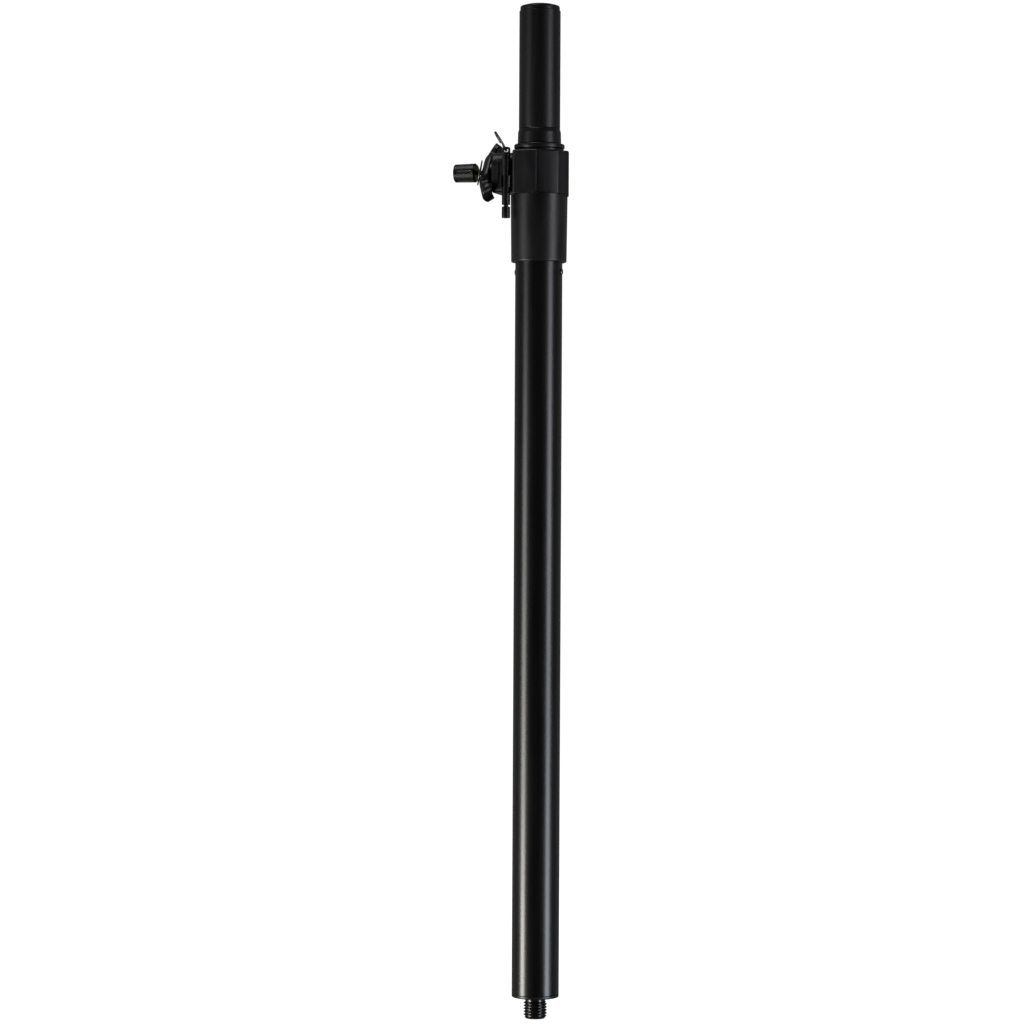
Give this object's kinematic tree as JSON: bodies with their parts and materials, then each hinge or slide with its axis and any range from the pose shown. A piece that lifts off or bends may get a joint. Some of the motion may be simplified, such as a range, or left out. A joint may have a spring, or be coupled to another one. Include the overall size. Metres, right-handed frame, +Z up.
{
  "type": "loudspeaker distance pole",
  "caption": "Telescopic distance pole that carries a loudspeaker on a round spigot above a bass cabinet, with a screw clamp, a spring locking pin and a threaded foot.",
  "frame": {"origin": "centre of the shoulder face round the threaded stud, which lies on the cabinet's socket plate", "axes": "+Z up along the pole, -X along the clamp knob's axis, outwards"},
  "size_m": [0.1013, 0.0542, 0.8586],
  "materials": {
    "gloss_paint": "black semi-gloss powder coat",
    "black_plastic": "black moulded nylon, fine grain",
    "sleeve_plastic": "black matt plastic",
    "black_steel": "black zinc plated steel",
    "zinc_steel": "bright zinc plate",
    "yellow_zinc": "yellow passivated zinc plate",
    "nylon": "natural nylon"
  },
  "bodies": {
    "base": {"outer_tube": "gloss_paint", "bottom_cap": "black_plastic", "stud_bolt": "black_steel", "lock_washer": "zinc_steel", "upper_guide_bush": "nylon", "guide_rivet_front": "zinc_steel", "guide_rivet_back": "zinc_steel", "tube_socket": "black_plastic", "clamp_collar": "black_plastic", "grip_bush": "nylon", "threaded_insert": "yellow_zinc", "plunger_spring": "zinc_steel"},
    "carriage": {"lower_guide_bush": "nylon"},
    "mast": {"inner_tube": "gloss_paint", "inner_end_plug": "black_plastic", "stop_rivet_front": "zinc_steel", "stop_rivet_back": "zinc_steel", "support_ring": "black_plastic", "support_band": "black_plastic", "spigot_sleeve": "sleeve_plastic", "spigot_cap": "sleeve_plastic"},
    "pad": {"pressure_pad": "yellow_zinc"},
    "clamp": {"clamp_screw": "zinc_steel", "clamp_knob": "black_plastic", "hub_ring": "zinc_steel"},
    "plunger": {"plunger_pin": "yellow_zinc", "head_bush": "yellow_zinc", "pull_head": "black_plastic"},
    "pin": {"safety_pin": "black_steel"},
    "ring": {"split_ring": "black_steel"}
  },
  "joints": [
    {"name": "mast_slide", "type": "slide", "parent": "base", "child": "carriage", "axis": [0, 0, 1], "range_m": [0, 0.5]},
    {"name": "mast_turn", "type": "hinge", "parent": "carriage", "child": "mast", "pos_m": [0, 0, 0.7], "axis": [0, 0, 1], "continuous": true},
    {"name": "pad_slide", "type": "slide", "parent": "base", "child": "pad", "axis": [-1, 0, 0], "range_m": [0, 0.002]},
    {"name": "clamp_turn", "type": "hinge", "parent": "pad", "child": "clamp", "pos_m": [0, 0, 0.6996], "axis": [-1, 0, 0], "range_deg": [0, 360]},
    {"name": "plunger_pull", "type": "slide", "parent": "base", "child": "plunger", "axis": [-1, 0, 0], "range_m": [0, 0.008], "stiffness_N_per_m": 600, "springref_m": -0.008, "deforming": ["plunger_spring"]},
    {"name": "pin_lift", "type": "slide", "parent": "base", "child": "pin", "axis": [0, 0, 1], "range_m": [0, 0.065]},
    {"name": "ring_swing", "type": "hinge", "parent": "pin", "child": "ring", "pos_m": [-0.0234, -0.0189, 0.7157], "axis": [-0.309, 0.9511, 0], "range_deg": [0, 60]}
  ],
  "couplings": [
    {"joint": "pad_slide", "follows": "clamp_turn", "m_per_rad": 0.000318}
  ]
}
